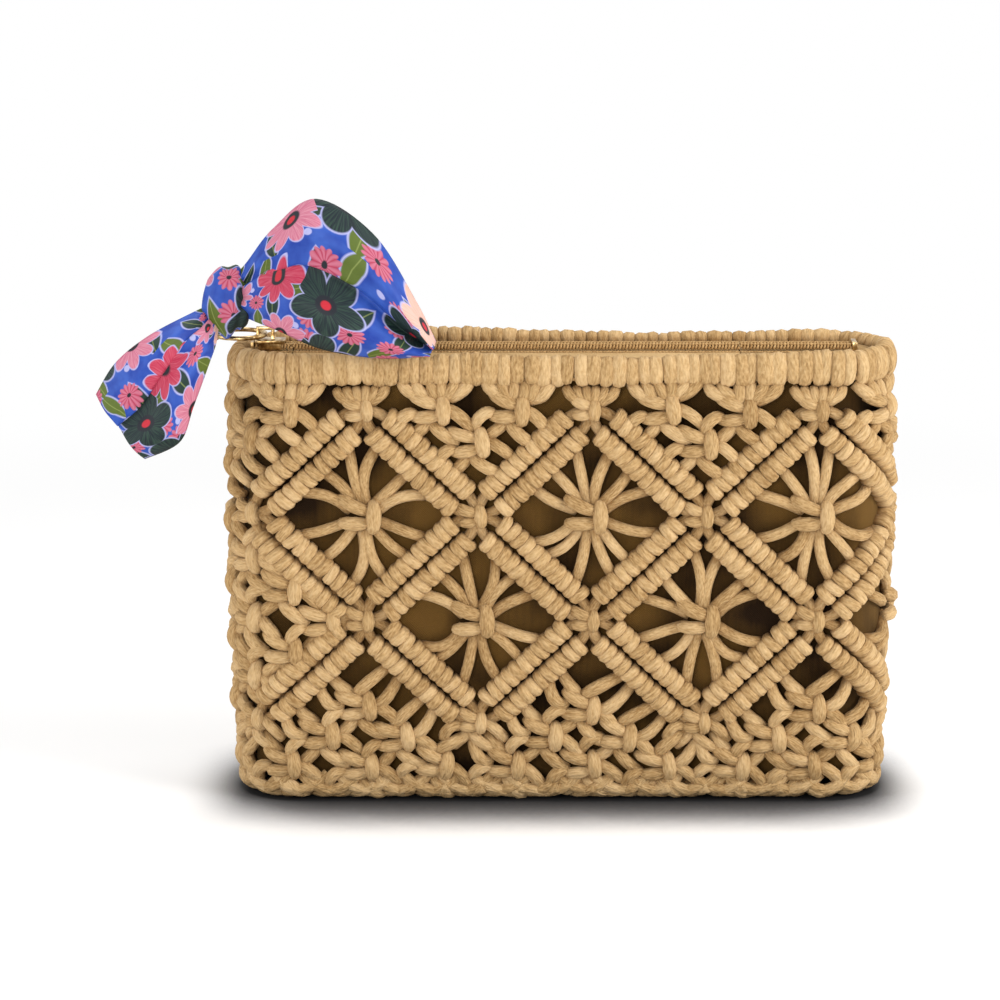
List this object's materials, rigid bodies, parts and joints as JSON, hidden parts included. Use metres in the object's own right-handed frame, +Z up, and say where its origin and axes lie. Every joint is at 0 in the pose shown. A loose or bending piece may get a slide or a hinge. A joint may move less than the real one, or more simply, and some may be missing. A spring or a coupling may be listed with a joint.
{
  "type": "macrame zip clutch bag",
  "caption": "Stuffed zip clutch knotted from tan cotton cord in a diamond lattice with spider knots, cloth lined, with a coil zip, a ring pull and a printed ribbon scarf tied to it.",
  "frame": {"origin": "middle of the bag's flat base, on the surface it stands on", "axes": "+Z up, +X to the right along the bag's length as seen from the front, front towards -Y"},
  "size_m": [0.3193, 0.0688, 0.2428],
  "materials": {
    "cord": "matt twisted cotton cord, camel tan",
    "lining": "plain woven cotton lining, khaki brown",
    "zip_tape": "woven polyester zip tape, tan",
    "zip_coil": "nylon coil, tan",
    "hardware": "pale antique gold plating",
    "scarf": "satin ribbon, cobalt ground with a scattered flower print"
  },
  "bodies": {
    "bag": {"base_knots": "cord", "rim_wraps_front": "cord", "rim_wraps_back": "cord", "rim_holding_cord": "cord", "lattice_front": "cord", "lattice_back": "cord", "lattice_right_end": "cord", "spider_upper_front_left": "cord", "spider_upper_front_middle": "cord", "spider_upper_front_right": "cord", "spider_upper_back_right": "cord", "spider_upper_back_middle": "cord", "spider_upper_back_left": "cord", "spider_lower_front_left": "cord", "spider_lower_front_right": "cord", "spider_lower_right_end": "cord", "spider_lower_back_right": "cord", "spider_lower_back_left": "cord", "square_knots_upper_front_left": "cord", "square_knots_upper_front_right": "cord", "square_knots_upper_right_end": "cord", "square_knots_upper_back_right": "cord", "square_knots_upper_back_left": "cord", "square_knots_lower_front": "cord", "square_knots_lower_right_end": "cord", "square_knots_lower_back": "cord", "square_knots_left_end": "cord", "lining_pouch": "lining", "zip_end_left": "zip_tape", "zip_end_right": "zip_tape", "zip_top_stop_front": "hardware", "zip_top_stop_back": "hardware", "zip_bottom_stop": "hardware"},
    "front_flap": {"zip_tape_front": "zip_tape", "zip_coil_front": "zip_coil"},
    "back_flap": {"zip_tape_back": "zip_tape", "zip_coil_back": "zip_coil"},
    "slider": {"zip_slider": "hardware"},
    "ring": {"pull_ring": "hardware"},
    "scarf": {"scarf_loop": "scarf", "scarf_knot": "scarf", "scarf_tail_left": "scarf", "scarf_tail_right": "scarf"}
  },
  "joints": [
    {"name": "zip_slide", "type": "slide", "parent": "bag", "child": "slider", "axis": [1, 0, 0], "range_m": [0, 0.223]},
    {"name": "ring_swing", "type": "hinge", "parent": "slider", "child": "ring", "pos_m": [-0.1169, 0, 0.1848], "axis": [0, 1, 0], "range_deg": [0, 140]},
    {"name": "scarf_hang", "type": "hinge", "parent": "ring", "child": "scarf", "pos_m": [-0.1369, 0, 0.1848], "axis": [0, 1, 0], "range_deg": [-140, 0]},
    {"name": "front_flap_fold", "type": "hinge", "parent": "bag", "child": "front_flap", "pos_m": [-0.018, -0.0178, 0.1782], "axis": [1, 0, 0], "range_deg": [0, 85]},
    {"name": "back_flap_fold", "type": "hinge", "parent": "bag", "child": "back_flap", "pos_m": [-0.018, 0.0178, 0.1782], "axis": [-1, 0, 0], "range_deg": [0, 85]}
  ],
  "couplings": [
    {"joint": "scarf_hang", "follows": "ring_swing", "ratio": -1}
  ]
}
